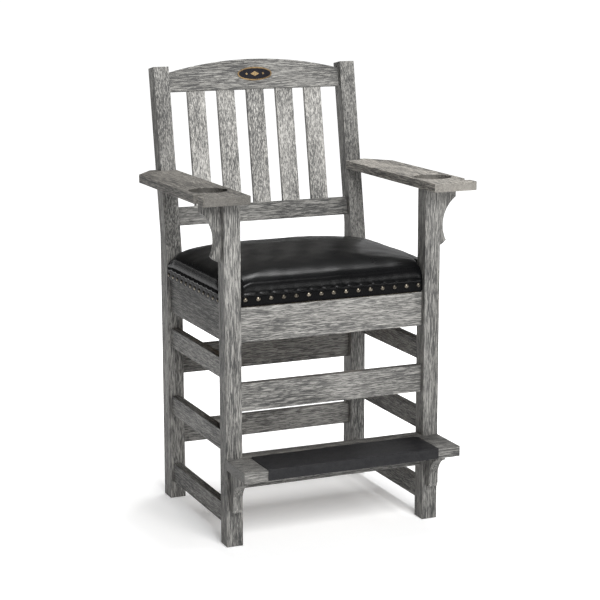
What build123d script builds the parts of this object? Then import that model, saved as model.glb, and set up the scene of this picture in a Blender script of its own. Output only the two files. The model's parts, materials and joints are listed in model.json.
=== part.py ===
"""A tall wooden spectator chair with a crowned leather seat, a footrest, and arms with
drink wells and cue rests. Millimetres. The front faces -Y, and the origin is on the floor
under the middle of the chair's whole box."""
from build123d import *
from math import cos, radians, sin, tan
import os

os.makedirs("parts", exist_ok=True)

# Frame of uprights
frame_width = 618.0  # over the front legs
back_set_in = 3.0  # each back post's outer face inside the front leg's
frame_depth = 501.0  # front face of a front leg to a post's front face, plus one leg_stock
leg_stock = 45.0  # section of the front legs, and of the back posts over their bend
edge_ease = 1.2  # rounding of every board's edges
post_height = 1221.0  # floor to the top front edge of a post
post_foot_depth = 52.0  # front to back of a post below its bend
bend_over_apron = 82.0  # height over the aprons where the posts start to lean back
rake_angle = 9.8  # lean of the back, in degrees
bend_radius = 90.0  # inner rounding of the posts' bend

# Glides under the feet
glide_radius = 11.0
glide_height = 1.0
glide_pin_radius = 2.0
glide_pin_length = 12.0

# Aprons under the seat
apron_top = 637.0
side_apron_rise = 3.0  # side aprons and corner blocks, which carry the seat, over the others
apron_height = 93.0
cross_rail_thickness = 22.0
cross_rail_recess = 16.0  # front faces of the rails along X behind the uprights' front faces
side_rail_thickness = 23.0
side_stretcher_height = 54.0
side_upper_bottom = 443.0
side_middle_bottom = 247.5
side_lower_bottom = 49.5
front_stretcher_height = 74.0
front_stretcher_bottom = 360.5
rear_upper_height = 79.0
rear_upper_bottom = 361.0
rear_middle_height = 61.0
rear_middle_bottom = 157.5

# Back between the posts
crest_shoulder_drop = 16.4  # down the rake from the posts' top front edges
crest_end_height = 53.0
crest_rise = 32.5  # height of the arch over its ends
crest_thickness = 22.0
back_rail_recess = 16.0  # behind the posts' front faces, square to the rake
lower_rail_over_seat = 27.0  # over the leather's crown
lower_rail_height = 52.0
slat_count = 5
slat_width = 52.0
slat_pitch = 89.0
slat_thickness = 12.0
slat_recess = 20.0
slat_tenon = 10.0

# Arms
arm_top = 938.0
arm_thickness = 23.0
arm_width = 127.0
arm_outer_overhang = 77.0  # arm's outer edge outside the front leg's outer face
arm_overhang = 60.0  # in front of the front legs
arm_behind_post_face = 25.0  # outer part of the arm past the post's front face
arm_rear_flat = 25.0  # straight bit of the arm's rear edge beside the post
arm_chamfer_length = 73.0
arm_corner_radius = 6.0
well_radius = 50.0
well_depth = 13.0
well_from_leg_face = 75.0  # drink well's centre behind the front legs' front face
rest_width = 32.0  # cue rest, a round-ended slot in the arm's outer edge
rest_depth = 19.0
rest_from_arm_front = 39.0

# Brackets under the arms
arm_corbel_thickness = 22.0
arm_corbel_recess = 18.0  # front face behind the front leg's front face
arm_corbel_height = 157.0
arm_corbel_reach = 55.0
arm_corbel_lip = 26.0
corbel_ease = 1.0
arm_corbel_waist_share = 0.31  # of the reach
arm_corbel_toe_share = 0.49
arm_corbel_waist_height_share = 0.38  # of the height
arm_corbel_toe_height_share = 0.10
arm_corbel_sole_shares = (0.27, 0.03)  # a point on the rounded sole, of the reach and height

# Footrest
footrest_top = 240.0
footrest_thickness = 28.0
footrest_reach = 129.0  # in front of the front legs' front faces
footrest_behind = 42.0
footrest_rail_height = 60.0
plate_end_margin = 65.0  # bare board at each end of the plate
plate_thickness = 1.5
plate_behind = 3.0  # plate's rear edge in front of the legs' front faces
plate_bend_radius = 1.0
plate_corner_radius = 12.0
foot_corbel_thickness = 26.0
foot_corbel_height = 113.0
foot_corbel_reach = 64.0
foot_corbel_toe = 24.0  # depth below the hollow
foot_corbel_toe_height = 31.0
foot_corbel_lip = 27.0  # straight front above the hollow
foot_corbel_sole = 12.0  # height of the slope under the toe
foot_corbel_sole_depth = 20.0  # depth at the bottom edge
foot_corbel_mid_shares = (0.63, 0.637)  # a point on the hollow, of the reach and height

# Seat
seat_board_thickness = 28.0
cushion_height = 118.0
cushion_front_recess = 6.0  # behind the front legs' front faces
cushion_side_recess = 4.0  # leather's side inside the front leg's outer face
leather_wall = 8.0  # leather and padding round the seat board's edge
soft_gap = 0.3
leg_gap = 1.0
cushion_corner_share = 0.22  # of the half depth, at the band
cushion_corner_growth_share = 0.60  # added to it towards the crown
cushion_level_shares = (0.21, 0.38, 0.50, 0.59, 0.65, 0.71, 0.77, 0.84, 0.90, 0.96, 1.0)
cushion_inset_shares = (0.0, 0.0, 0.01, 0.03, 0.06, 0.11, 0.19, 0.32, 0.49, 0.71, 0.90)

# Upholstery nails
nail_height = 18.5  # front and rear rows over the seat board's underside
side_nail_height = 12.5
nail_head_radius = 6.0
nail_head_height = 2.6
nail_shank_radius = 1.0
nail_shank_length = 19.0
front_nail_count = 15
side_nail_count = 12
nail_end_gap = 14.0  # first and last nail of the front and rear rows from the leather's end
side_nail_front_gap = 16.0
side_nail_rear_gap = 10.5

# Corner blocks with their bolts, nuts and screws
block_leg = 80.0
block_height = 38.0
bolt_radius = 3.0
bolt_length = 88.0
bolt_tail = 8.0  # bolt past the block's long face
nut_radius = 5.5
nut_height = 5.0
washer_radius = 8.0
washer_thickness = 1.5
seat_screw_radius = 2.5
seat_screw_bite = 18.0
seat_screw_head_radius = 4.5
seat_screw_head_height = 3.0
seat_screw_along = 55.0  # from the block's corner along the cross rail
seat_screw_across = 14.0

# Dowels
dowel_radius = 4.0
dowel_length = 40.0
short_dowel_length = 24.0
dowel_gap = 0.1  # round a dowel
hole_end_gap = 1.0  # past each end of a dowel
dowel_spread_share = 0.5  # of a rail's height, between its two dowels
front_apron_spread_share = 0.86
side_apron_spread_share = 0.25
upright_dowel_spread = 20.0
footrest_dowel_pitch = 120.0
footrest_dowel_count = 4
arm_corbel_dowel_shares = (0.12, 0.78)  # of the corbel's height
foot_corbel_dowel_shares = (0.18, 0.84)

# Badge on the crest rail
badge_half_width = 52.0
badge_half_height = 19.0
badge_thickness = 2.2
badge_rim = 3.5
badge_sink = 0.8  # depth of the dark field's bed
badge_from_crest_bottom = 43.0
badge_pin_radius = 1.5
badge_pin_length = 9.0
badge_pin_spacing = 60.0
lozenge_half_width = 13.0
lozenge_half_height = 7.0
badge_dot_radius = 3.0
badge_dot_offset = 25.0
ornament_height = 0.8

# Clearances shared by cuts
fit_gap = 0.2
overrun = 5.0

# Places that follow from the sizes above
rake = radians(rake_angle)
seat_bottom = apron_top + side_apron_rise
back_width = frame_width - 2 * back_set_in
bend_height = apron_top + bend_over_apron
inner_front = frame_width / 2 - leg_stock
inner_back = back_width / 2 - leg_stock
back_reach = (
    frame_depth - leg_stock + (post_height - bend_height) * tan(rake) + leg_stock * cos(rake)
)
front_reach = footrest_reach + plate_thickness
leg_front = (front_reach - back_reach) / 2
leg_back = leg_front + leg_stock
post_back = leg_front + frame_depth
post_front = post_back - leg_stock
front_leg_x = frame_width / 2 - leg_stock / 2
post_x = back_width / 2 - leg_stock / 2
side_rail_x = (front_leg_x + post_x) / 2
arm_bottom = arm_top - arm_thickness
arm_middle = arm_top - arm_thickness / 2
arm_outer = frame_width / 2 + arm_outer_overhang
arm_inner = arm_outer - arm_width
plate_half_length = frame_width / 2 - plate_end_margin
cushion_side = frame_width / 2 - cushion_side_recess
post_up_rake = (post_height - bend_height) / cos(rake)
crest_bottom = post_up_rake - crest_shoulder_drop - crest_end_height
lower_rail_bottom = (seat_bottom + cushion_height + lower_rail_over_seat - bend_height) / cos(rake)
post_face_at_arm = post_front + (arm_middle - bend_height) * tan(rake)
footrest_bottom = footrest_top - footrest_thickness
front_rail_middle = leg_front + cross_rail_recess + cross_rail_thickness / 2
rear_rail_middle = post_front + cross_rail_recess + cross_rail_thickness / 2
cushion_front = leg_front + cushion_front_recess
cushion_back = post_back - cushion_front_recess
cushion_middle = (cushion_front + cushion_back) / 2
cushion_half_depth = (cushion_back - cushion_front) / 2
nail_level = seat_bottom + nail_height
side_nail_level = seat_bottom + side_nail_height
sides = {"left": -1, "right": 1}

# The leaning plane of the posts' front faces: X along the chair, Y up the rake
back_plane = Plane(
    origin=(0, post_front, bend_height), x_dir=(1, 0, 0), z_dir=(0, -cos(rake), sin(rake))
)
hole_radius = dowel_radius + dowel_gap
hole_length = dowel_length + 2 * hole_end_gap
short_hole_length = short_dowel_length + 2 * hole_end_gap


def save(piece, name):
    """Labels a finished piece and writes it under its node's name."""
    piece.part.label = name
    export_step(piece.part, f"parts/{name}.step")


def pair(middle, spread):
    """Two places either side of a middle."""
    return [middle - spread / 2, middle + spread / 2]


def along_x(x, y, heights):
    """Places of pins that run along X through one upright's face."""
    return [Location((x, y, z), (0, 90, 0)) for z in heights]


def along_y(x, y, heights):
    """Places of pins that run along Y through one upright's face."""
    return [Location((x, y, z), (90, 0, 0)) for z in heights]


def bore(places, radius, length):
    """Drills the same hole at each place, inside the part being built."""
    with Locations(*places):
        Cylinder(radius, length, mode=Mode.SUBTRACT)


def rake_point(x, up, depth):
    """A point at a height up the rake and a depth behind the posts' front faces."""
    return back_plane.from_local_coords(Vector(x, up, -depth))


def board(low, high):
    """Adds a board between two corners, with its edges eased, to the part being built."""
    with Locations((Vector(*low) + Vector(*high)) / 2):
        Box(*(b - a for a, b in zip(low, high)))
    fillet(edges(), edge_ease)


# Rails along X. Each entry: half span, middle in Y, bottom, height and spread of its dowels
cross_rails = {
    "front_apron": (
        inner_front,
        front_rail_middle,
        apron_top - apron_height,
        apron_height,
        front_apron_spread_share,
    ),
    "front_stretcher": (
        inner_front,
        front_rail_middle,
        front_stretcher_bottom,
        front_stretcher_height,
        dowel_spread_share,
    ),
    "footrest_rail": (
        inner_front,
        front_rail_middle,
        footrest_bottom - footrest_rail_height,
        footrest_rail_height,
        dowel_spread_share,
    ),
    "rear_apron": (
        inner_back,
        rear_rail_middle,
        apron_top - apron_height,
        apron_height,
        front_apron_spread_share,
    ),
    "rear_stretcher_upper": (
        inner_back,
        rear_rail_middle,
        rear_upper_bottom,
        rear_upper_height,
        dowel_spread_share,
    ),
    "rear_stretcher_middle": (
        inner_back,
        rear_rail_middle,
        rear_middle_bottom,
        rear_middle_height,
        dowel_spread_share,
    ),
}

# Rails along Y on each side: bottom, height and spread of the dowels
side_rails = {
    "side_apron": (
        apron_top - apron_height,
        apron_height + side_apron_rise,
        side_apron_spread_share,
    ),
    "side_stretcher_upper": (side_upper_bottom, side_stretcher_height, dowel_spread_share),
    "side_stretcher_middle": (side_middle_bottom, side_stretcher_height, dowel_spread_share),
    "side_stretcher_lower": (side_lower_bottom, side_stretcher_height, dowel_spread_share),
}

# Every dowel's place, by the part of the chair that it holds together
frame_dowels = []
back_dowels = []
arm_dowels = []
corbel_dowels = []
footrest_dowels = []

for name, (half_span, middle_y, bottom, height, spread_share) in cross_rails.items():
    dowel_heights = pair(bottom + height / 2, height * spread_share)
    places = [p for s in (-1, 1) for p in along_x(s * half_span, middle_y, dowel_heights)]
    frame_dowels += places
    with BuildPart() as rail:
        board(
            (-half_span, middle_y - cross_rail_thickness / 2, bottom),
            (half_span, middle_y + cross_rail_thickness / 2, bottom + height),
        )
        bore(places, hole_radius, hole_length)
        if name == "footrest_rail":
            for i in range(footrest_dowel_count):
                x = (i - (footrest_dowel_count - 1) / 2) * footrest_dowel_pitch
                footrest_dowels.append(Location((x, middle_y, footrest_bottom)))
            bore(footrest_dowels, hole_radius, short_hole_length)
    save(rail, name)

for name, (bottom, height, spread_share) in side_rails.items():
    dowel_heights = pair(bottom + height / 2, height * spread_share)
    for side, s in sides.items():
        x = s * side_rail_x
        places = along_y(x, leg_back, dowel_heights) + along_y(x, post_front, dowel_heights)
        frame_dowels += places
        with BuildPart() as rail:
            board(
                (x - side_rail_thickness / 2, leg_back, bottom),
                (x + side_rail_thickness / 2, post_front, bottom + height),
            )
            bore(places, hole_radius, hole_length)
        save(rail, f"{name}_{side}")

# Crest rail, with an arched top, and the straight lower rail of the back
crest_dowel_heights = pair(crest_bottom + crest_end_height / 2, crest_end_height / 2)
lower_dowel_heights = pair(lower_rail_bottom + lower_rail_height / 2, lower_rail_height / 2)
back_rail_middle = back_rail_recess + crest_thickness / 2
slat_places = [(i - (slat_count - 1) / 2) * slat_pitch for i in range(slat_count)]
slat_bottom = lower_rail_bottom + lower_rail_height - slat_tenon
slat_top = crest_bottom + slat_tenon
for s in (-1, 1):
    for up in crest_dowel_heights + lower_dowel_heights:
        point = rake_point(s * inner_back, up, back_rail_middle)
        back_dowels += along_x(point.X, point.Y, [point.Z])

badge_up = crest_bottom + badge_from_crest_bottom
badge_face = back_plane.offset(-back_rail_recess)
badge_pins = [
    badge_face.location * Location((x, badge_up, -badge_pin_length / 2))
    for x in pair(0, badge_pin_spacing)
]

with BuildPart() as crest_rail:
    with BuildSketch(back_plane.offset(-back_rail_recess)):
        with BuildLine():
            crest_shoulder = crest_bottom + crest_end_height
            Polyline(
                (-inner_back, crest_shoulder),
                (-inner_back, crest_bottom),
                (inner_back, crest_bottom),
                (inner_back, crest_shoulder),
            )
            ThreePointArc(
                (inner_back, crest_shoulder),
                (0, crest_shoulder + crest_rise),
                (-inner_back, crest_shoulder),
            )
        make_face()
    extrude(amount=-crest_thickness)
    fillet(crest_rail.edges(), edge_ease)
    bore(back_dowels, hole_radius, hole_length)
    with BuildSketch(back_plane.offset(-slat_recess + fit_gap)):
        with Locations(*[(x, crest_bottom) for x in slat_places]):
            Rectangle(slat_width + 2 * fit_gap, 2 * (slat_tenon + hole_end_gap))
    extrude(amount=-(slat_thickness + 2 * fit_gap), mode=Mode.SUBTRACT)
    bore(badge_pins, badge_pin_radius + fit_gap, badge_pin_length + 2 * hole_end_gap)
save(crest_rail, "crest_rail")

with BuildPart() as lower_back_rail:
    with BuildSketch(back_plane.offset(-back_rail_recess)):
        with Locations((0, lower_rail_bottom + lower_rail_height / 2)):
            Rectangle(2 * inner_back, lower_rail_height)
    extrude(amount=-crest_thickness)
    fillet(lower_back_rail.edges(), edge_ease)
    bore(back_dowels, hole_radius, hole_length)
    with BuildSketch(back_plane.offset(-slat_recess + fit_gap)):
        with Locations(*[(x, lower_rail_bottom + lower_rail_height) for x in slat_places]):
            Rectangle(slat_width + 2 * fit_gap, 2 * (slat_tenon + hole_end_gap))
    extrude(amount=-(slat_thickness + 2 * fit_gap), mode=Mode.SUBTRACT)
save(lower_back_rail, "lower_back_rail")

for number, x in enumerate(slat_places, start=1):
    with BuildPart() as back_slat:
        with BuildSketch(back_plane.offset(-slat_recess)):
            with Locations((x, (slat_bottom + slat_top) / 2)):
                Rectangle(slat_width, slat_top - slat_bottom)
        extrude(amount=-slat_thickness)
        fillet(back_slat.edges(), edge_ease)
    save(back_slat, f"back_slat_{number}")

# Brackets: their dowels lie in the uprights too, so these places come first
arm_corbel_bottom = arm_bottom - arm_corbel_height
arm_corbel_middle = leg_front + arm_corbel_recess + arm_corbel_thickness / 2
foot_corbel_bottom = footrest_bottom - foot_corbel_height
arm_corbel_levels = [
    arm_corbel_bottom + arm_corbel_height * share for share in arm_corbel_dowel_shares
]
foot_corbel_levels = [
    foot_corbel_bottom + foot_corbel_height * share for share in foot_corbel_dowel_shares
]
for s in (-1, 1):
    corbel_dowels += along_x(s * frame_width / 2, arm_corbel_middle, arm_corbel_levels)
    corbel_dowels += along_y(s * front_leg_x, leg_front, foot_corbel_levels)
    arm_dowels += [
        Location((x, leg_front + leg_stock / 2, arm_bottom))
        for x in pair(s * front_leg_x, upright_dowel_spread)
    ]
    for x in pair(s * post_x, upright_dowel_spread):
        arm_dowels += along_y(x, post_face_at_arm, [arm_middle])

# Hanger bolts run square to the corner blocks' long faces, into the uprights
block_middle = seat_bottom - block_height / 2
block_corner_x = side_rail_x - side_rail_thickness / 2
block_corner_front = leg_front + cross_rail_recess + cross_rail_thickness
block_corner_rear = post_front + cross_rail_recess
corner_bolts = {}
for side, s in sides.items():
    for end, corner_y, into in (
        ("front", block_corner_front, -1),
        ("rear", block_corner_rear, 1),
    ):
        outward = Vector(s, into, 0).normalized()
        face_middle = Vector(s * block_corner_x, corner_y, block_middle) - outward * (
            block_leg * sin(radians(45))
        )
        corner_bolts[f"{end}_{side}"] = Plane(
            origin=face_middle, x_dir=(0, 0, 1), z_dir=outward
        )
bolt_middle = bolt_length / 2 - bolt_tail
bolt_holes = [p.offset(bolt_middle).location for p in corner_bolts.values()]

upright_dowels = frame_dowels + back_dowels
glide_pins = [
    Location((s * x, y, glide_height + glide_pin_length / 2))
    for s in (-1, 1)
    for x, y in (
        (front_leg_x, leg_front + leg_stock / 2),
        (post_x, post_front + leg_stock / 2),
    )
]


def drill_upright():
    """Cuts every dowel, bolt and glide hole that reaches into the upright being built."""
    bore(upright_dowels, hole_radius, hole_length)
    bore(arm_dowels + corbel_dowels, hole_radius, short_hole_length)
    bore(bolt_holes, bolt_radius + dowel_gap, bolt_length + 2 * hole_end_gap)
    bore(glide_pins, glide_pin_radius + dowel_gap, glide_pin_length + 2 * hole_end_gap)


for side, s in sides.items():
    x = s * front_leg_x
    with BuildPart() as front_leg:
        board(
            (x - leg_stock / 2, leg_front, glide_height), (x + leg_stock / 2, leg_back, arm_bottom)
        )
        drill_upright()
    save(front_leg, f"front_leg_{side}")

# Back posts: straight to the bend, then leaning back, with the top cut square to the rake
post_top_front = (post_front + (post_height - bend_height) * tan(rake), post_height)
post_top_back = (
    post_top_front[0] + leg_stock * cos(rake),
    post_top_front[1] - leg_stock * sin(rake),
)
post_foot_back = post_front + post_foot_depth
bend_back_height = (
    bend_height - leg_stock * sin(rake) + (post_foot_depth - leg_stock * cos(rake)) / tan(rake)
)
for side, s in sides.items():
    with BuildPart() as back_post:
        with BuildSketch(Plane.YZ.offset(s * post_x)):
            with BuildLine():
                Polyline(
                    (post_front, glide_height),
                    (post_foot_back, glide_height),
                    (post_foot_back, bend_back_height),
                    post_top_back,
                    post_top_front,
                    (post_front, bend_height),
                    (post_front, glide_height),
                )
            face = make_face()
            bends = face.vertices().filter_by_position(
                Axis.Y,
                min(bend_back_height, bend_height) - fit_gap,
                max(bend_back_height, bend_height) + fit_gap,
            )
            fillet(bends.sort_by(Axis.X)[0], bend_radius)
            fillet(bends.sort_by(Axis.X)[-1], bend_radius + leg_stock)
        extrude(amount=leg_stock / 2, both=True)
        fillet(back_post.edges(), edge_ease)
        drill_upright()
    save(back_post, f"back_post_{side}")

# Arms: drawn for the right side and mirrored for the left
arm_front = leg_front - arm_overhang
arm_rear = post_face_at_arm + arm_behind_post_face
rest_middle = arm_front + rest_from_arm_front + rest_width / 2
rest_mouth = arm_outer - rest_depth + rest_width / 2
post_outer = back_width / 2
arm_up_rake = (arm_middle - bend_height) / cos(rake)
for side, s in sides.items():
    with BuildPart() as arm:
        with BuildSketch(Plane.XY.offset(arm_bottom)):
            with BuildLine():
                Polyline(
                    (s * arm_inner, arm_rear),
                    (s * arm_inner, arm_front),
                    (s * arm_outer, arm_front),
                    (s * arm_outer, arm_rear - arm_chamfer_length),
                    (s * (post_outer + arm_rear_flat), arm_rear),
                    (s * arm_inner, arm_rear),
                )
            outline = make_face()
            corner = outline.vertices().group_by(Axis.Y)[0].sort_by(Axis.X)
            fillet(corner[-1] if s > 0 else corner[0], arm_corner_radius)
            with Locations((s * rest_mouth, rest_middle)):
                Circle(rest_width / 2, mode=Mode.SUBTRACT)
            with Locations((s * (rest_mouth + rest_width), rest_middle)):
                Rectangle(2 * rest_width, rest_width, mode=Mode.SUBTRACT)
        extrude(amount=arm_thickness)
        with Locations((s * (arm_inner + arm_width / 2), leg_front + well_from_leg_face, arm_top)):
            Cylinder(well_radius, 2 * well_depth, mode=Mode.SUBTRACT)
        fillet(arm.faces().sort_by(Axis.Z)[-1].edges(), edge_ease)
        fillet(arm.faces().sort_by(Axis.Z)[0].edges(), edge_ease)
        with BuildSketch(back_plane.offset(fit_gap)):
            with Locations((s * (post_outer + fit_gap - leg_stock), arm_up_rake)):
                Rectangle(2 * leg_stock, leg_stock + 2 * arm_thickness)
        extrude(amount=-(arm_behind_post_face + leg_stock), mode=Mode.SUBTRACT)
        bore(arm_dowels, hole_radius, short_hole_length)
    save(arm, f"arm_{side}")

# Brackets under the arms, hollowed on the outside and rounded at the foot
for side, s in sides.items():
    foot = s * frame_width / 2
    waist = (
        foot + s * arm_corbel_reach * arm_corbel_waist_share,
        arm_corbel_bottom + arm_corbel_height * arm_corbel_waist_height_share,
    )
    toe = (
        foot + s * arm_corbel_reach * arm_corbel_toe_share,
        arm_corbel_bottom + arm_corbel_height * arm_corbel_toe_height_share,
    )
    sole = (
        foot + s * arm_corbel_reach * arm_corbel_sole_shares[0],
        arm_corbel_bottom + arm_corbel_height * arm_corbel_sole_shares[1],
    )
    tip_x = foot + s * arm_corbel_reach
    with BuildPart() as arm_corbel:
        with BuildSketch(Plane.XZ.offset(-arm_corbel_middle)):
            with BuildLine():
                Polyline(
                    (foot, arm_corbel_bottom),
                    (foot, arm_bottom),
                    (tip_x, arm_bottom),
                    (tip_x, arm_bottom - arm_corbel_lip),
                )
                ThreePointArc((tip_x, arm_bottom - arm_corbel_lip), waist, toe)
                ThreePointArc(toe, sole, (foot, arm_corbel_bottom))
            make_face()
        extrude(amount=arm_corbel_thickness / 2, both=True)
        fillet(arm_corbel.edges(), corbel_ease)
        bore(corbel_dowels, hole_radius, short_hole_length)
    save(arm_corbel, f"arm_corbel_{side}")

# Footrest board, notched round the front legs
board_front = leg_front - footrest_reach
notch_corner = leg_stock - fit_gap
with BuildPart() as footrest_board:
    board(
        (-frame_width / 2, board_front, footrest_bottom),
        (frame_width / 2, leg_front + footrest_behind, footrest_top),
    )
    with Locations(*[(s * (inner_front + notch_corner), leg_front + notch_corner) for s in (-1, 1)]):
        Box(2 * leg_stock, 2 * leg_stock, 2 * footrest_top, mode=Mode.SUBTRACT)
    bore(footrest_dowels, hole_radius, short_hole_length)
save(footrest_board, "footrest_board")

# Black plate folded over the board's top and front edge
with BuildPart() as footrest_plate:
    with BuildSketch(Plane.YZ.offset(-plate_half_length)):
        with BuildLine():
            FilletPolyline(
                (leg_front - plate_behind, footrest_top),
                (board_front, footrest_top),
                (board_front, footrest_bottom + edge_ease),
                radius=plate_bend_radius,
            )
            offset(amount=plate_thickness, side=Side.RIGHT)
        make_face()
    extrude(amount=2 * plate_half_length)
    corners = footrest_plate.edges().filter_by(Axis.Z).group_by(Axis.Y)[-1]
    fillet(corners, plate_corner_radius)
save(footrest_plate, "footrest_plate")

# Brackets under the footrest, on the front faces of the front legs
for side, s in sides.items():
    with BuildPart() as foot_corbel:
        with BuildSketch(Plane.YZ.offset(s * front_leg_x)):
            with BuildLine():
                mid_share, mid_height_share = foot_corbel_mid_shares
                Polyline(
                    (leg_front - foot_corbel_toe, foot_corbel_bottom + foot_corbel_toe_height),
                    (leg_front - foot_corbel_toe, foot_corbel_bottom + foot_corbel_sole),
                    (leg_front - foot_corbel_sole_depth, foot_corbel_bottom),
                    (leg_front, foot_corbel_bottom),
                    (leg_front, footrest_bottom),
                    (leg_front - foot_corbel_reach, footrest_bottom),
                    (leg_front - foot_corbel_reach, footrest_bottom - foot_corbel_lip),
                )
                ThreePointArc(
                    (leg_front - foot_corbel_reach, footrest_bottom - foot_corbel_lip),
                    (
                        leg_front - foot_corbel_reach * mid_share,
                        foot_corbel_bottom + foot_corbel_height * mid_height_share,
                    ),
                    (leg_front - foot_corbel_toe, foot_corbel_bottom + foot_corbel_toe_height),
                )
            make_face()
        extrude(amount=foot_corbel_thickness / 2, both=True)
        fillet(foot_corbel.edges(), corbel_ease)
        bore(corbel_dowels, hole_radius, short_hole_length)
    save(foot_corbel, f"footrest_corbel_{side}")

# Upholstery nails round the seat: places with their heads' outward direction as local Z
front_half_row = inner_front - leg_gap - nail_end_gap
side_row_low = leg_back + leg_gap + side_nail_front_gap
side_row_high = post_front - leg_gap - side_nail_rear_gap
rear_half_row = inner_back - leg_gap - nail_end_gap


def row(low, high, count):
    """Evenly spaced places from low to high."""
    return [low + (high - low) * i / (count - 1) for i in range(count)]


nail_places = []
for x in row(-front_half_row, front_half_row, front_nail_count):
    nail_places.append(Plane((x, cushion_front, nail_level), x_dir=(1, 0, 0), z_dir=(0, -1, 0)))
for x in row(-rear_half_row, rear_half_row, front_nail_count):
    nail_places.append(Plane((x, cushion_back, nail_level), x_dir=(1, 0, 0), z_dir=(0, 1, 0)))
for s in (-1, 1):
    for y in row(side_row_low, side_row_high, side_nail_count):
        nail_places.append(
            Plane((s * cushion_side, y, side_nail_level), x_dir=(0, 1, 0), z_dir=(s, 0, 0))
        )
nail_holes = [p.offset(soft_gap - nail_shank_length / 2).location for p in nail_places]

with BuildPart() as nail_master:
    with BuildSketch(Plane.XZ):
        with BuildLine():
            Polyline(
                (0, nail_head_height),
                (0, -nail_shank_length),
                (nail_shank_radius, -nail_shank_length),
                (nail_shank_radius, 0),
                (nail_head_radius, 0),
            )
            RadiusArc(
                (nail_head_radius, 0),
                (0, nail_head_height),
                -(nail_head_radius**2 + nail_head_height**2) / (2 * nail_head_height),
            )
        make_face()
    revolve(axis=Axis.Z)

with BuildPart() as nailheads:
    with Locations(*[p.offset(soft_gap).location for p in nail_places]):
        add(nail_master.part)
save(nailheads, "nailheads")


def leg_pockets(gap):
    """Cuts the seat's corners away round the legs and posts."""
    for s in (-1, 1):
        for inner, edge, into in ((inner_front, leg_back, -1), (inner_back, post_front, 1)):
            with Locations(
                (
                    s * (inner - gap + cushion_side / 2),
                    edge - into * gap + into * cushion_half_depth / 2,
                    seat_bottom + cushion_height / 2,
                )
            ):
                Box(
                    cushion_side,
                    cushion_half_depth,
                    2 * cushion_height,
                    mode=Mode.SUBTRACT,
                )


seat_board_front = cushion_front + leather_wall
seat_board_back = cushion_back - leather_wall
seat_screw_places = [
    Location((s * (block_corner_x - seat_screw_along), y, seat_bottom))
    for s in (-1, 1)
    for y in (block_corner_front + seat_screw_across, block_corner_rear - seat_screw_across)
]
seat_screw_length = block_height + seat_screw_bite


def seat_core(growth):
    """Adds the seat board's block, grown all round, with its corners cut for the leather there."""
    height = seat_board_thickness + growth
    with Locations((0, cushion_middle, seat_bottom + height / 2)):
        Box(
            2 * (cushion_side - leather_wall + growth),
            seat_board_back - seat_board_front + 2 * growth,
            height,
        )
    leg_pockets(leg_gap + leather_wall - growth)


with BuildPart() as seat_board:
    seat_core(0)
    bore(nail_holes, nail_shank_radius + dowel_gap, nail_shank_length + hole_end_gap)
    with Locations(*seat_screw_places):
        Cylinder(
            seat_screw_radius + dowel_gap, 2 * (seat_screw_bite + hole_end_gap), mode=Mode.SUBTRACT
        )
save(seat_board, "seat_board")

with BuildPart() as seat_cavity:
    seat_core(soft_gap)

with BuildPart() as seat_cushion:
    with BuildSketch(Plane((0, cushion_middle, seat_bottom + soft_gap))):
        RectangleRounded(
            2 * cushion_side, 2 * cushion_half_depth, cushion_corner_share * cushion_half_depth
        )
    extrude(amount=cushion_height * cushion_level_shares[0] - soft_gap)
    for level_share, inset_share in zip(cushion_level_shares, cushion_inset_shares):
        half_depth = cushion_half_depth * (1 - inset_share)
        half_width = cushion_side - cushion_half_depth * inset_share
        corner_share = cushion_corner_share + cushion_corner_growth_share * inset_share
        with BuildSketch(Plane((0, cushion_middle, seat_bottom + cushion_height * level_share))):
            RectangleRounded(2 * half_width, 2 * half_depth, corner_share * half_depth)
    loft()
    leg_pockets(leg_gap)
    add(seat_cavity.part, mode=Mode.SUBTRACT)
    bore(nail_holes, nail_shank_radius + fit_gap, nail_shank_length + hole_end_gap)
save(seat_cushion, "seat_cushion")

# Corner blocks between the aprons, with a bolt, washer and nut each
for side, s in sides.items():
    for end, corner_y, upright_x, upright_y, into in (
        ("front", block_corner_front, inner_front, leg_back, -1),
        ("rear", block_corner_rear, inner_back, post_front, 1),
    ):
        with BuildPart() as corner_block:
            with BuildSketch(Plane.XY.offset(seat_bottom - block_height)):
                with BuildLine():
                    Polyline(
                        (s * (block_corner_x - block_leg), corner_y),
                        (s * upright_x, corner_y),
                        (s * upright_x, upright_y),
                        (s * block_corner_x, upright_y),
                        (s * block_corner_x, corner_y - into * block_leg),
                        (s * (block_corner_x - block_leg), corner_y),
                    )
                make_face()
            extrude(amount=block_height)
            bore(bolt_holes, bolt_radius + dowel_gap, bolt_length + 2 * hole_end_gap)
            bore(seat_screw_places, seat_screw_radius + dowel_gap, 2 * block_height + overrun)
        save(corner_block, f"corner_block_{end}_{side}")

with BuildPart() as corner_bolt_group:
    with Locations(*bolt_holes):
        Cylinder(bolt_radius, bolt_length)
save(corner_bolt_group, "corner_bolts")

with BuildPart() as corner_washers:
    with Locations(*[p.offset(-washer_thickness / 2).location for p in corner_bolts.values()]):
        Cylinder(washer_radius, washer_thickness)
        Cylinder(bolt_radius + dowel_gap, washer_thickness, mode=Mode.SUBTRACT)
save(corner_washers, "corner_washers")

nut_seats = [p.offset(-washer_thickness - nut_height) for p in corner_bolts.values()]
with BuildPart() as corner_nuts:
    for seat in nut_seats:
        with BuildSketch(seat):
            RegularPolygon(nut_radius, 6)
            Circle(bolt_radius + dowel_gap, mode=Mode.SUBTRACT)
        extrude(amount=nut_height)
save(corner_nuts, "corner_nuts")

with BuildPart() as seat_screws:
    with Locations(*seat_screw_places):
        with Locations((0, 0, seat_screw_bite - seat_screw_length / 2)):
            Cylinder(seat_screw_radius, seat_screw_length)
        with Locations((0, 0, -block_height - seat_screw_head_height / 2)):
            Cylinder(seat_screw_head_radius, seat_screw_head_height)
save(seat_screws, "seat_screws")

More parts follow.
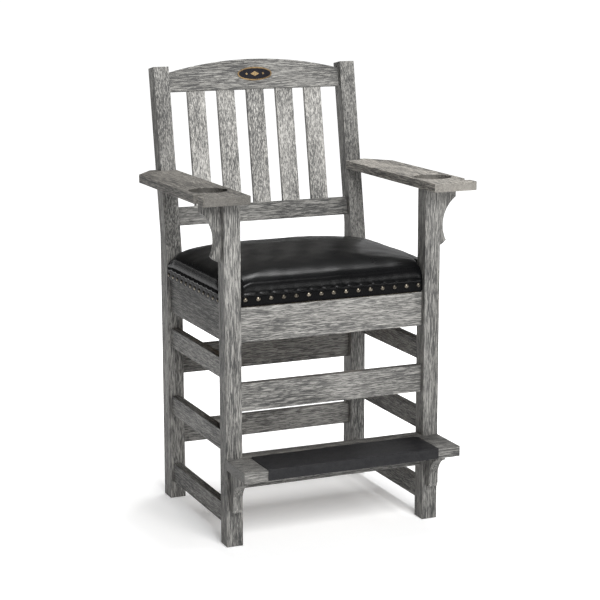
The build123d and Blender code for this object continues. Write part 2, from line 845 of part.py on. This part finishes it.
# Dowels and glides, as groups of separate solids
dowel_groups = {
    "frame_dowels": (frame_dowels, dowel_length),
    "back_dowels": (back_dowels, dowel_length),
    "arm_dowels": (arm_dowels, short_dowel_length),
    "corbel_dowels": (corbel_dowels, short_dowel_length),
    "footrest_dowels": (footrest_dowels, short_dowel_length),
}
for name, (places, length) in dowel_groups.items():
    with BuildPart() as dowels:
        with Locations(*places):
            Cylinder(dowel_radius, length)
    save(dowels, name)

with BuildPart() as floor_glides:
    with Locations(*glide_pins):
        Cylinder(glide_pin_radius, glide_pin_length)
        with Locations((0, 0, -(glide_pin_length + glide_height) / 2)):
            Cylinder(glide_radius, glide_height)
save(floor_glides, "floor_glides")

# Plain oval badge on the crest rail, with a dark field and a lozenge between two dots
with BuildPart() as badge_plate:
    with BuildSketch(badge_face):
        with Locations((0, badge_up)):
            Ellipse(badge_half_width, badge_half_height)
    extrude(amount=badge_thickness)
    with BuildSketch(badge_face.offset(badge_thickness)):
        with Locations((0, badge_up)):
            Ellipse(badge_half_width - badge_rim, badge_half_height - badge_rim)
    extrude(amount=-badge_sink, mode=Mode.SUBTRACT)
    for place in badge_pins:
        with Locations(place):
            Cylinder(badge_pin_radius, badge_pin_length)
save(badge_plate, "badge_plate")

with BuildPart() as badge_field:
    with BuildSketch(badge_face.offset(badge_thickness - badge_sink)):
        with Locations((0, badge_up)):
            Ellipse(badge_half_width - badge_rim - fit_gap, badge_half_height - badge_rim - fit_gap)
    extrude(amount=badge_sink / 2)
save(badge_field, "badge_field")

with BuildPart() as badge_ornament:
    with BuildSketch(badge_face.offset(badge_thickness - badge_sink / 2)):
        with BuildLine():
            Polyline(
                (-lozenge_half_width, badge_up),
                (0, badge_up - lozenge_half_height),
                (lozenge_half_width, badge_up),
                (0, badge_up + lozenge_half_height),
                (-lozenge_half_width, badge_up),
            )
        make_face()
        with Locations(*[(s * badge_dot_offset, badge_up) for s in (-1, 1)]):
            Circle(badge_dot_radius)
    extrude(amount=ornament_height)
save(badge_ornament, "badge_ornament")
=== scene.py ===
"""Looks, light and camera for the tall spectator chair. Metres, in the CAD's frame."""
import json
import math

import bpy
import bmesh
import numpy as np
from mathutils import Matrix, Vector, noise
from mathutils.geometry import delaunay_2d_cdt


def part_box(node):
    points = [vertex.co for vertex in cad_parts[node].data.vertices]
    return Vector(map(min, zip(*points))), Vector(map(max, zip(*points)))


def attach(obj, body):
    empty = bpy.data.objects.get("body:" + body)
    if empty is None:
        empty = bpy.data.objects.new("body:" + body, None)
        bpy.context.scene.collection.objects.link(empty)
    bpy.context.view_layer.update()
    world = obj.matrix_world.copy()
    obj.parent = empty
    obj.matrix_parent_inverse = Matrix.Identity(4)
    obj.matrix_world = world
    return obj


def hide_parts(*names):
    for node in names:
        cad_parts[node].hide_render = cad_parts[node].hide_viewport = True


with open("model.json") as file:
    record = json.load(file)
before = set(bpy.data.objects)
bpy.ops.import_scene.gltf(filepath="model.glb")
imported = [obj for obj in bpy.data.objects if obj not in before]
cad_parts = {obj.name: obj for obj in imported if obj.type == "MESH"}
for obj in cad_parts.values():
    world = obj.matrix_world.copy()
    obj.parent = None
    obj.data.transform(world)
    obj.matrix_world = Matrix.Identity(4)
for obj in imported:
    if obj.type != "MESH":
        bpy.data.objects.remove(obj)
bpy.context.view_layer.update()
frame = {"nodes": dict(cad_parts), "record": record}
nodes = frame["nodes"]
scene = bpy.context.scene


# Node helpers
class Shader:
    """A material's node tree, with short calls for the nodes used here."""

    def __init__(self, name):
        self.mat = bpy.data.materials.new(name)
        self.mat.use_nodes = True
        self.tree = self.mat.node_tree
        self.bsdf = self.tree.nodes["Principled BSDF"]
        self.count = 0

    def node(self, kind, **settings):
        made = self.tree.nodes.new(kind)
        made.location = (-220 * (1 + self.count % 8), -170 * (self.count // 8))
        self.count += 1
        for key, value in settings.items():
            setattr(made, key, value)
        return made

    def link(self, out, into):
        self.tree.links.new(out, into)

    def feed(self, socket, value):
        if isinstance(value, bpy.types.NodeSocket):
            self.link(value, socket)
        else:
            socket.default_value = value

    def set(self, **values):
        """Feed the shader's own sockets, with _ for a space in their names."""
        for key, value in values.items():
            self.feed(self.bsdf.inputs[key.replace("_", " ")], value)

    def position(self):
        return self.node("ShaderNodeTexCoord").outputs["Object"]

    def math(self, operation, a, b=0.0):
        made = self.node("ShaderNodeMath", operation=operation)
        self.feed(made.inputs[0], a)
        self.feed(made.inputs[1], b)
        return made.outputs[0]

    def product(self, first, *others):
        for other in others:
            first = self.math("MULTIPLY", first, other)
        return first

    def weigh(self, *terms):
        """Sum of the terms, each a value and its weight."""
        total, *others = [self.math("MULTIPLY", value, weight) for value, weight in terms]
        for other in others:
            total = self.math("ADD", total, other)
        return total

    def split(self, vector):
        made = self.node("ShaderNodeSeparateXYZ")
        self.link(vector, made.inputs[0])
        return tuple(made.outputs)

    def combine(self, *values):
        made = self.node("ShaderNodeCombineXYZ")
        for socket, value in zip(made.inputs, values):
            self.feed(socket, value)
        return made.outputs[0]

    def noise(self, vector, scale, detail=2.0, rough=0.5, distortion=0.0):
        made = self.node("ShaderNodeTexNoise")
        self.link(vector, made.inputs["Vector"])
        made.inputs["Scale"].default_value = scale
        made.inputs["Detail"].default_value = detail
        made.inputs["Roughness"].default_value = rough
        made.inputs["Distortion"].default_value = distortion
        return made.outputs["Fac"]

    def ramp(self, fac, stops):
        made = self.node("ShaderNodeValToRGB")
        elements = made.color_ramp.elements
        while len(elements) < len(stops):
            elements.new(0.5)
        for element, (at, colour) in zip(elements, stops):
            element.position = at
            element.color = (*colour, 1.0)
        self.link(fac, made.inputs["Fac"])
        return made.outputs["Color"]

    def level(self, fac, low, high, out_low=0.0, out_high=1.0):
        """Take low..high to out_low..out_high, clamped."""
        made = self.node("ShaderNodeMapRange", clamp=True)
        self.link(fac, made.inputs["Value"])
        made.inputs["From Min"].default_value = low
        made.inputs["From Max"].default_value = high
        made.inputs["To Min"].default_value = out_low
        made.inputs["To Max"].default_value = out_high
        return made.outputs["Result"]

    def mix(self, fac, a, b):
        made = self.node("ShaderNodeMix", data_type="RGBA")
        self.feed(made.inputs[0], fac)
        self.feed(made.inputs[6], a)
        self.feed(made.inputs[7], b)
        return made.outputs[2]

    def bump(self, height, strength, distance):
        made = self.node("ShaderNodeBump")
        made.inputs["Strength"].default_value = strength
        made.inputs["Distance"].default_value = distance
        self.link(height, made.inputs["Height"])
        return made.outputs["Normal"]


# Materials
wood_shades = [
    (0.36, (0.092, 0.089, 0.082)),
    (0.45, (0.158, 0.154, 0.144)),
    (0.54, (0.220, 0.215, 0.202)),
    (0.66, (0.282, 0.275, 0.260)),
]
pore_shade = 0.026


def grey_wood(name, axis, seed, tone, tint, well):
    """Grey-stained wood with short dark pores along its grain: X, Y or Z. Painted shade
    darkens the inside of a well, given as its middle, radius and top."""
    s = Shader(name)
    x, y, z = s.split(s.position())
    along, across, through = {"X": (x, z, y), "Y": (y, z, x), "Z": (z, x, y)}[axis]

    def space(stretch, drift):
        """The grain's own space, drawn out along it and moved for each seed and layer."""
        return s.combine(
            s.math("MULTIPLY", along, stretch),
            s.math("ADD", across, 0.37 * seed + drift),
            s.math("ADD", through, 0.71 * seed - drift),
        )

    broad = s.noise(space(0.30, 0.0), 12.0, 3.0, 0.5, 0.5)
    streak = s.noise(space(0.042, 1.3), 165.0, 4.0, 0.6, 0.5)
    fine = s.noise(space(0.060, 2.9), 640.0, 3.0, 0.6, 0.1)
    pores = s.noise(space(0.056, 4.1), 420.0, 3.0, 0.62, 0.25)
    ticks = s.noise(space(0.075, 5.7), 620.0, 2.0, 0.55, 0.2)
    colour = s.ramp(
        s.weigh((broad, 0.30), (streak, 0.42), (fine, 0.28)),
        [(at, tuple(c * tone * t for c, t in zip(shade, tint))) for at, shade in wood_shades],
    )
    dark = tuple(pore_shade * tone * t for t in tint) + (1.0,)

    normal = s.split(s.node("ShaderNodeTexCoord").outputs["Normal"])
    end_grain = s.math("ABSOLUTE", normal["XYZ".index(axis)])
    long_grain = s.level(end_grain, 0.9, 0.6, 0.35, 1.0)
    patches = s.level(broad, 0.40, 0.62, 1.0, 0.55)
    open_grain = s.product(s.level(pores, 0.53, 0.47), patches, long_grain)
    specks = s.product(s.level(ticks, 0.48, 0.41), long_grain)
    colour = s.mix(s.math("MULTIPLY", open_grain, 0.90), colour, dark)
    colour = s.mix(s.math("MULTIPLY", specks, 0.80), colour, dark)
    colour = s.mix(s.level(end_grain, 0.6, 0.9, 0.0, 0.42), colour, dark)

    if well:
        middle_x, middle_y, radius, top = well
        away = s.node("ShaderNodeVectorMath", operation="DISTANCE")
        s.link(s.combine(x, y), away.inputs[0])
        away.inputs[1].default_value = (middle_x, middle_y, 0)
        inside = s.level(away.outputs["Value"], radius + 0.0006, radius - 0.0006)
        below = s.level(z, top - 0.0002, top - 0.0012)
        well_shade = s.level(z, top - 0.006, top - 0.0128, 0.58, 0.34)
        # Painted shade inside the well: strongest on the wall just under the rim, less on the
        # floor.
        colour = s.mix(s.product(inside, below, well_shade), colour, dark)

    height = s.math(
        "SUBTRACT", s.math("MULTIPLY", streak, 0.4), s.math("MULTIPLY", open_grain, 0.9)
    )
    height = s.math("SUBTRACT", height, s.math("MULTIPLY", specks, 0.4))
    s.set(
        Base_Color=colour,
        Roughness=s.level(streak, 0.3, 0.7, 0.68, 0.54),
        Normal=s.bump(height, 0.5, 0.0005),
        Specular_IOR_Level=0.3,
    )
    return s.mat


def plain_wood(name, axis, seed):
    """Bare hidden wood."""
    s = Shader(name)
    place = s.node("ShaderNodeMapping")
    s.link(s.position(), place.inputs["Vector"])
    place.inputs["Scale"].default_value = tuple(0.06 if way == axis else 1 for way in "XYZ")
    place.inputs["Location"].default_value = (seed * 0.31, seed * 0.17, seed * 0.23)
    streak = s.noise(place.outputs[0], 160.0, 4.0, 0.6, 0.4)
    broad = s.noise(place.outputs[0], 28.0, 2.0, 0.5, 0.8)
    colour = s.ramp(
        s.weigh((streak, 0.6), (broad, 0.4)),
        [(0.35, (0.26, 0.17, 0.09)), (0.52, (0.42, 0.30, 0.18)), (0.68, (0.55, 0.42, 0.27))],
    )
    s.set(Base_Color=colour, Roughness=0.7, Normal=s.bump(streak, 0.3, 0.0004))
    return s.mat


def leather(name, matte_below):
    """Smooth black leather with a faint grain and a cloudy gloss: dull on the nailed band,
    below matte_below, and a little softer from the shoulder up."""
    s = Shader(name)
    where = s.position()
    height = s.split(where)[2]
    cells = s.node("ShaderNodeTexVoronoi", feature="DISTANCE_TO_EDGE")
    s.link(where, cells.inputs["Vector"])
    cells.inputs["Scale"].default_value = 700.0
    pebbles = s.level(cells.outputs["Distance"], 0.0, 0.25)
    wrinkles = s.noise(where, 150.0, 4.0, 0.6, 0.5)
    broad = s.noise(where, 8.0, 1.0, 0.4, 0.2)
    cloud = s.level(broad, 0.15, 0.85, 0.15, 0.24)
    rough = s.math("ADD", cloud, s.math("MULTIPLY", wrinkles, 0.05))
    shoulder = s.level(height, matte_below + 0.032, matte_below + 0.044, 0.0, 0.08)
    s.set(
        Base_Color=s.mix(
            s.level(broad, 0.35, 0.7), (0.0014, 0.0015, 0.0017, 1), (0.0030, 0.0030, 0.0032, 1)
        ),
        Roughness=s.math("ADD", rough, shoulder),
        Normal=s.bump(s.weigh((pebbles, 0.35), (wrinkles, 0.65)), 0.14, 0.0006),
        IOR=1.36,
        Specular_IOR_Level=s.level(height, matte_below, matte_below + 0.002, 0.04, 0.22),
    )
    return s.mat


def metal(name, dark, light, rough, metallic=1.0, scale=300.0, dent=0.0, gloss=0.5):
    """A metal or paint whose colour and gloss vary with a patina."""
    s = Shader(name)
    where = s.position()
    patina = s.noise(where, scale, 4.0, 0.6, 0.3)
    broad = s.noise(where, scale * 0.12, 2.0, 0.5, 0.2)
    age = s.level(s.weigh((patina, 0.6), (broad, 0.4)), 0.38, 0.62)
    s.set(
        Base_Color=s.mix(age, (*dark, 1.0), (*light, 1.0)),
        Roughness=s.level(patina, 0.3, 0.7, rough + 0.04, rough - 0.04),
        Metallic=metallic,
        Specular_IOR_Level=gloss,
    )
    if dent:
        s.set(Normal=s.bump(patina, dent, 0.0003))
    return s.mat


leather_mat = leather("black_leather_mat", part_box("seat_board")[0].z + 0.0262)
special = {
    "nailheads": metal(
        "antique_nail_mat", (0.020, 0.018, 0.015), (0.170, 0.150, 0.120), 0.30, dent=0.25
    ),
    "footrest_plate": metal(
        "black_plate_mat",
        (0.008, 0.008, 0.009),
        (0.017, 0.017, 0.018),
        0.46,
        metallic=0.0,
        scale=420.0,
        dent=0.12,
        gloss=0.10,
    ),
    "badge_plate": metal(
        "badge_rim_mat", (0.070, 0.044, 0.018), (0.230, 0.150, 0.065), 0.50, 0.7, dent=0.15
    ),
    "badge_field": metal(
        "badge_field_mat", (0.004, 0.004, 0.006), (0.009, 0.009, 0.012), 0.6, 0.0, gloss=0.1
    ),
    "badge_ornament": metal(
        "badge_ornament_mat", (0.090, 0.060, 0.026), (0.260, 0.180, 0.085), 0.50, 0.7
    ),
    "floor_glides": metal(
        "glide_mat", (0.020, 0.020, 0.020), (0.045, 0.045, 0.045), 0.5, 0.0
    ),
}
steel = metal("fastener_steel_mat", (0.38, 0.38, 0.38), (0.62, 0.62, 0.63), 0.32)
for name in ("corner_bolts", "corner_nuts", "corner_washers", "seat_screws"):
    special[name] = steel

# The grain's axis by how a node's name starts. All others run along X.
grain_axis = {
    "front_leg": "Z",
    "back_post": "Z",
    "back_slat": "Z",
    "arm_corbel": "Z",
    "footrest_corbel": "Z",
    "arm_left": "Y",
    "arm_right": "Y",
    "side_": "Y",
}
# How light each piece's wood is, by how a node's name starts: partly the piece's own stain,
# partly painted light and shade that makes a piece as bright or dark as it looks lit or shaded. All
# others are 1.
stain_and_painted_light = {
    "back_slat": 1.72,
    "back_post_left": 1.14,
    "rear_stretcher": 1.08,
    "rear_apron": 0.80,
    "front_leg_left": 1.02,
    "front_leg_right": 0.94,
    "front_apron": 1.10,
    "front_stretcher": 1.05,
    "side_apron": 0.60,
    "footrest_board": 0.81,
    "arm_left": 0.71,
    "arm_right": 1.27,
    "crest_rail": 1.06,
}
no_tint, arm_tint = (1.0, 1.0, 1.0), (1.04, 1.0, 0.95)
wells = {}
for mount in frame["record"]["mounts"]:
    if mount["name"].startswith("drink_well"):
        arm_name = mount["name"].replace("drink_well", "arm")
        radius, top = mount["dims"]["r_mm"] / 1000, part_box(arm_name)[1].z
        wells[arm_name] = (mount["pos_m"][0], mount["pos_m"][1], radius, top)
slots = {part["node"]: part["material_slot"] for part in frame["record"]["subparts"]}


def by_start(table, name, other):
    """The table's value for the first key that the name starts with."""
    return next((value for start, value in table.items() if name.startswith(start)), other)


for seed, (name, obj) in enumerate(sorted(nodes.items()), start=1):
    axis = by_start(grain_axis, name, "X")
    if name in special:
        mat = special[name]
    elif slots[name] == "grey_wood":
        tint = arm_tint if name in wells else no_tint
        # tone: the piece's stain together with painted light and shade.
        tone = by_start(stain_and_painted_light, name, 1.0)
        mat = grey_wood(f"{name}_mat", axis, seed, tone, tint, wells.get(name))
    elif slots[name] == "black_leather":
        mat = leather_mat
    else:
        mat = plain_wood(f"{name}_mat", axis, seed)
    obj.data.materials.clear()
    obj.data.materials.append(mat)


# Leather seat
leather_out = 0.008  # how far the leather stands out past the seat board
joint_gap = 0.001  # between the leather and the legs and posts
seat_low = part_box("seat_board")[0].z
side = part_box("seat_board")[1].x + leather_out
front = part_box("seat_board")[0].y - leather_out
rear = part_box("seat_board")[1].y + leather_out
leg_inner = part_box("front_apron")[1].x - joint_gap
post_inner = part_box("rear_apron")[1].x - joint_gap
leg_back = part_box("side_apron_left")[0].y + joint_gap
post_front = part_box("side_apron_left")[1].y - joint_gap
middle = (front + rear) / 2
half_depth = (rear - front) / 2
seam = seat_low + 0.0272  # top of the nailed band
touching = 1e-4  # nearer than this, a point lies on a side

end_nail_count, end_nail_margin, end_nail_height = 15, 0.014, 0.0185
side_nail_count, side_nail_height = 12, 0.0125
leg_nail_margin, post_nail_margin = 0.016, 0.0105


def row(start, end, count):
    """Evenly spaced places from start to end."""
    return [start + (end - start) * i / (count - 1) for i in range(count)]


nails = [
    (x, y)
    for inner, y in ((leg_inner, front), (post_inner, rear))
    for x in row(-inner + end_nail_margin, inner - end_nail_margin, end_nail_count)
]
nails += [
    (s * side, y)
    for s in (-1, 1)
    for y in row(leg_back + leg_nail_margin, post_front - post_nail_margin, side_nail_count)
]
nails = np.array(nails)


def seat_outline():
    """Points round the seat with their outward normals and how far each is a show side:
    1 on the outer sides, 0 in the pockets round the legs and posts."""
    outer, pocket = (0.009, 10), (0.003, 6)  # a corner's radius and steps
    corners = [
        (-leg_inner, front, outer),
        (leg_inner, front, outer),
        (leg_inner, leg_back, pocket),
        (side, leg_back, outer),
        (side, post_front, outer),
        (post_inner, post_front, pocket),
        (post_inner, rear, outer),
        (-post_inner, rear, outer),
        (-post_inner, post_front, pocket),
        (-side, post_front, outer),
        (-side, leg_back, outer),
        (-leg_inner, leg_back, pocket),
    ]
    spacing = 0.0022
    count = len(corners)
    arcs = []
    for i, (x, y, (r, steps)) in enumerate(corners):
        here = Vector((x, y))
        before = (here - Vector(corners[i - 1][:2])).normalized()
        after = (Vector(corners[(i + 1) % count][:2]) - here).normalized()
        turn = before.x * after.y - before.y * after.x
        centre = here - before * r + Vector((-before.y, before.x)) * r * turn
        start = Vector((before.y, -before.x)) * turn
        arc = []
        for k in range(steps + 1):
            ray = Matrix.Rotation(math.pi / 2 * k / steps * turn, 2) @ start
            arc.append((centre + ray * r, ray * turn))
        arcs.append(arc)
    outline = []
    for i, arc in enumerate(arcs):
        outline += arc
        a, normal = arc[-1]
        b = arcs[(i + 1) % count][0][0]
        steps = max(2, round((b - a).length / spacing))
        outline += [(a.lerp(b, k / steps), normal) for k in range(1, steps)]
    points = np.array([tuple(point) for point, _ in outline])
    normals = np.array([tuple(normal) for _, normal in outline])
    x, y = points[:, 0], points[:, 1]
    on_side = np.abs(np.abs(x) - side) < touching
    on_end = (np.abs(y - front) < touching) | (np.abs(y - rear) < touching)
    show = (on_side | on_end).astype(float)
    for _ in range(4):
        show = (np.roll(show, 1) + show * 2 + np.roll(show, -1)) / 4
    return points, normals, show


def notch_distance(points):
    """How far each point is from the nearest leg or post pocket."""
    x, y = np.abs(points[:, 0]), points[:, 1]
    to_front = np.hypot(np.maximum(0, leg_inner - x), np.maximum(0, y - leg_back))
    to_rear = np.hypot(np.maximum(0, post_inner - x), np.maximum(0, post_front - y))
    return np.minimum(to_front, to_rear)


# The crown's height over the seam at distances inside the seat's outline
inset_steps = np.array([2.4, 7.3, 14.5, 24.2, 43.6, 72.6, 108.9, 157.0, 206.0, 242.0]) / 1000
crown_steps = np.array([33.0, 41.5, 48.5, 54.5, 62.5, 70.0, 76.5, 82.0, 85.5, 87.0]) / 1000
crown_fit = np.polyfit(np.sqrt(inset_steps), crown_steps, 4)
least_inset, least_rise = 0.0012, 0.012
edge_inset = 0.0045  # where the sides end and the top begins
pocket_round = 0.0075
front_corner, rear_corner, corner_growth = 0.070, 0.100, 0.130


def contour_inset(points):
    """How far inside the seat's outline the contour through each point lies, on contours
    whose corners grow rounder towards the crown."""
    x, y = np.abs(points[:, 0]), np.abs(points[:, 1] - middle)
    corner = np.where(points[:, 1] > middle, rear_corner, front_corner)
    low, high = np.full(len(points), -0.06), np.full(len(points), half_depth)
    for _ in range(36):
        inset = (low + high) / 2
        turn = corner + corner_growth * np.maximum(inset, 0) / half_depth
        turn = np.minimum(turn, np.maximum(half_depth - inset - 1e-4, 1e-4))
        dx, dy = x - (side - inset) + turn, y - (half_depth - inset) + turn
        away = np.hypot(np.maximum(dx, 0), np.maximum(dy, 0))
        away += np.minimum(np.maximum(dx, dy), 0) - turn
        low, high = np.where(away > 0, low, inset), np.where(away > 0, inset, high)
    return (low + high) / 2


def crown(points):
    """Height of the leather over a point of the plan."""
    inset = contour_inset(points)
    rise = np.polyval(crown_fit, np.sqrt(np.maximum(inset, least_inset)))
    rise = np.maximum(rise + 1.2 * np.minimum(inset, 0), least_rise)
    gap = np.minimum(notch_distance(points) / pocket_round, 1.0)
    return seam + rise * np.sqrt(1 - (1 - gap) ** 2)


def creases(points):
    """Soft folds that run out of the pockets' inner corners, and slow waves in the padding."""
    shift = np.zeros(len(points))
    for s in (-1, 1):
        for cx, cy, way in ((leg_inner, leg_back, 1), (post_inner, post_front, -1)):
            dx, dy = (s * cx - points[:, 0]) * s, (points[:, 1] - cy) * way
            reach = np.hypot(dx, dy)
            angle = np.arctan2(dy, dx)
            fold = np.sin(angle * 7.0 + s * 1.3 + way * 0.7) * 0.5 + np.sin(angle * 12.0 + s) * 0.25
            shift += 0.0011 * fold * np.exp(-reach / 0.036) * np.minimum(reach / 0.020, 1.0)
    for i, (x, y) in enumerate(points):
        shift[i] += 0.0017 * noise.noise(Vector((x * 9.0, y * 11.0, 3.1)))
        shift[i] += 0.0010 * noise.noise(Vector((x * 24.0, y * 28.0, 8.2)))
    return shift


def to_nails(points):
    """Distance in plan from each point to each nail."""
    return np.hypot(
        points[:, None, 0] - nails[None, :, 0], points[:, None, 1] - nails[None, :, 1]
    )


def pull(points):
    """Two falls from 1 beside a nail to 0 between nails, a sharp one and a soft one."""
    gaps = np.min(to_nails(points), axis=1)
    return np.exp(-((gaps / 0.0055) ** 2)), np.exp(-((gaps / 0.0095) ** 2))


def nail_dimple(points, z):
    """1 at a nail's middle on the band, falling to 0 past its head."""
    on_side = np.abs(nails[:, 0]) > side - touching
    drop = z - seat_low - np.where(on_side, side_nail_height, end_nail_height)
    return np.max(np.exp(-((to_nails(points) ** 2 + drop[None, :] ** 2) / 0.0085**2)), axis=1)


# The nailed band's profile from inside the seat, round its foot and up to the seam: how far
# it stands out, its height, and its share in the waves between the nails
band = [
    (-0.0077, seat_low + 0.0284, 0.0),
    (-0.0077, seat_low + 0.00035, 0.0),
    (-0.0036, seat_low + 0.00035, 0.0),
    (-0.0020, seat_low + 0.0006, 0.0),
    (-0.0008, seat_low + 0.0015, 0.0),
    (-0.0001, seat_low + 0.0034, 0.0),
]
band += [(0.0002, seat_low + z, 0.0) for z in np.linspace(0.0052, 0.0232, 10)]
band += [(0.0001, seam - 0.0024, 0.4), (-0.0007, seam - 0.0008, 1.0)]
band_outside = -0.001  # rows that stand out less than this have no nails

# The leather's profile above the seam: how far it stands out in front and behind, how far at
# the left and right, its height over the seam, and how deep the pleats are. The left and
# right drop back by 2.6 mm between two rows, a step that the real seat doesn't have.
rolls = [
    (0.0012, 0.0012, 0.0002, 0.50),
    (0.0032, 0.0050, 0.0010, 0.95),
    (0.0042, 0.0060, 0.0024, 1.00),
    (0.0040, 0.0058, 0.0036, 0.95),
    (0.0032, 0.0050, 0.0056, 0.80),
    (0.0023, 0.0041, 0.0078, 0.55),
    (0.0015, 0.0015, 0.0102, 0.36),
    (0.0010, 0.0010, 0.0130, 0.20),
    (0.0006, 0.0006, 0.0170, 0.10),
    (0.0002, -0.000266859, 0.0220, 0.05),
    (-0.0005, -0.001736599, 0.0270, 0.0),
    (-0.0013, -0.002971182, 0.0312, 0.0),
    (-0.0024, -0.0040, 0.0347, 0.0),
]
wave_reach = 0.016  # the waves between the nails end this far over the seam
dimple_depth = 0.0011
side_pleats = 0.45  # depth of the left and right pleats, as a share


def ring(mesh, places, heights):
    """A closed row of vertices round the seat."""
    return [mesh.verts.new((x, y, z)) for (x, y), z in zip(places, heights)]


def seat_sides(mesh, points, normals, show, edge, edge_level):
    """The band and the leather above it, up to the edge. Returns the edge's vertices."""
    sharp, soft = pull(points)
    random = np.array([noise.noise(Vector((x * 31.0, y * 31.0, 0.5))) for x, y in points])
    waves = 0.0026 * soft + 0.0006 * random
    pleats = (0.0012 * sharp + 0.0008 * soft) * (1 + 0.7 * random)
    at_side = np.abs(points[:, 0]) > side - 0.002
    flute = np.where(at_side, side_pleats, 1.0)
    rings = []
    for out, z, lift in band:
        dimple = np.zeros(len(points))
        if out > band_outside:
            dimple = dimple_depth * show * nail_dimple(points, z)
        places = points + normals * (out - dimple)[:, None]
        rings.append(ring(mesh, places, z + show * lift * waves))
    full = float(np.polyval(crown_fit, math.sqrt(edge_inset)))
    for end_out, side_out, rise, crease in rolls:
        share = rise / full
        lift = max(0.0, 1 - rise / wave_reach)
        spread = show * np.where(at_side, side_out, end_out)
        spread += (1 - show) * -edge_inset * share**2.2
        spread -= show * flute * crease * pleats
        level = seam + (edge_level - seam) * share ** np.where(show > 0.5, 1.0, 0.8)
        level += show * lift * waves
        rings.append(ring(mesh, points + normals * spread[:, None], level))
    rings.append(ring(mesh, edge, edge_level))
    count = len(points)
    for a, b in zip(rings, rings[1:]):
        for i in range(count):
            j = (i + 1) % count
            mesh.faces.new((a[i], a[j], b[j], b[i]))
    mesh.faces.new(list(reversed(rings[0])))
    return rings[-1]


def seat_top(mesh, edge, edge_ring):
    """The crown inside the edge, on a grid."""
    step = 0.0032
    margin = 0.0070
    grid = np.array(
        [
            (x, y)
            for y in np.arange(front + step, rear, step)
            for x in np.arange(-side + step, side, step)
        ]
    )
    inside = notch_distance(grid) > margin
    inside &= side - np.abs(grid[:, 0]) > margin
    inside &= half_depth - np.abs(grid[:, 1] - middle) > margin
    grid = grid[inside]
    flat = [Vector(p) for p in edge] + [Vector(p) for p in grid]
    border = list(range(len(edge)))
    _, _, faces, origin, _, _ = delaunay_2d_cdt(flat, [], [border], 1, 1e-6)
    tops = edge_ring + ring(mesh, grid, crown(grid) + creases(grid))
    for face in faces:
        corners = [tops[origin[v][0]] for v in face]
        if len(set(corners)) == 3:
            mesh.faces.new(corners)


def make_seat():
    """The leather with its nailed band, as one closed mesh."""
    points, normals, show = seat_outline()
    edge = points - normals * edge_inset
    edge_level = crown(edge) + creases(edge)
    mesh = bmesh.new()
    edge_ring = seat_sides(mesh, points, normals, show, edge, edge_level)
    seat_top(mesh, edge, edge_ring)
    bmesh.ops.join_triangles(
        mesh,
        faces=[f for f in mesh.faces if len(f.verts) == 3],
        angle_face_threshold=0.7,
        angle_shape_threshold=0.7,
    )
    bmesh.ops.recalc_face_normals(mesh, faces=mesh.faces)
    data = bpy.data.meshes.new("leather_seat")
    mesh.to_mesh(data)
    mesh.free()
    data.shade_smooth()
    obj = bpy.data.objects.new("leather_seat", data)
    scene.collection.objects.link(obj)
    obj.data.materials.append(leather_mat)
    return obj


seat = make_seat()
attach(seat, "root")
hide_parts("seat_cushion")


# Studio
aim = Vector((0.0, 0.0, 0.65))
lights = {
    "key": ((-0.2, -4.4, 3.2), (2.6, 1.6), 330.0),
    "low": ((1.6, -4.3, 0.22), (2.2, 0.22), 20.0),
    "top": ((0.5, 0.2, 4.0), (1.6, 1.4), 170.0),
    "behind": ((3.4, 4.2, 2.0), (2.2, 1.2), 9.0),
}
for name, (location, size, power) in lights.items():
    lamp = bpy.data.lights.new(name, "AREA")
    lamp.shape = "RECTANGLE"
    lamp.size, lamp.size_y = size
    lamp.energy = power
    obj = bpy.data.objects.new(name, lamp)
    obj.location = location
    obj.rotation_euler = (aim - Vector(location)).to_track_quat("-Z", "Y").to_euler()
    scene.collection.objects.link(obj)

world = bpy.data.worlds.new("studio")
scene.world = world
world.use_nodes = True
sky = world.node_tree.nodes["Background"]
sky.inputs["Color"].default_value = (1.0, 1.0, 1.0, 1.0)
sky.inputs["Strength"].default_value = 0.07

floor_mesh = bpy.data.meshes.new("studio_floor")
reach = 60.0
floor_mesh.from_pydata(
    [(-reach, -reach, 0), (reach, -reach, 0), (reach, reach, 0), (-reach, reach, 0)],
    [],
    [(0, 1, 2, 3)],
)
floor = bpy.data.objects.new("studio_floor", floor_mesh)
scene.collection.objects.link(floor)
# The floor glows as painted light: 0.30 within 0.6 m of the middle, rising to 1.0 past 2.2 m, so it
# is darker round and under the chair as painted shade.
look = Shader("studio_floor_mat")
distance = look.node("ShaderNodeVectorMath", operation="LENGTH")
look.link(look.position(), distance.inputs[0])
look.set(
    Base_Color=look.ramp(
        look.noise(look.position(), 1.4), [(0.3, (0.86, 0.86, 0.86)), (0.7, (0.88, 0.88, 0.88))]
    ),
    Roughness=0.9,
    Emission_Color=(1.0, 1.0, 1.0, 1.0),
    Emission_Strength=look.level(distance.outputs["Value"], 0.6, 2.2, 0.30, 1.0),
)
floor_mesh.materials.append(look.mat)

# The camera that was fitted to the photo
focal_px, picture_px = 1746.22, 600.0
camera_place = (-1.86247, -4.307187, 1.55634)
yaw, pitch, roll = math.radians(-23.372), math.radians(11.561), math.radians(-0.110)
lens = bpy.data.cameras.new("camera")
lens.sensor_width = 36.0
lens.lens = 36.0 * focal_px / picture_px
lens.clip_start, lens.clip_end = 0.1, 200.0
camera = bpy.data.objects.new("camera", lens)
scene.collection.objects.link(camera)
ahead = Vector(
    (-math.sin(yaw) * math.cos(pitch), math.cos(yaw) * math.cos(pitch), -math.sin(pitch))
)
level_right = Vector((math.cos(yaw), math.sin(yaw), 0))
level_up = level_right.cross(ahead)
right = level_right * math.cos(roll) + level_up * math.sin(roll)
up = level_up * math.cos(roll) - level_right * math.sin(roll)
turned = Matrix((right, up, -ahead)).transposed().to_4x4()
camera.matrix_world = Matrix.Translation(camera_place) @ turned
scene.camera = camera
scene.view_settings.view_transform = "Standard"
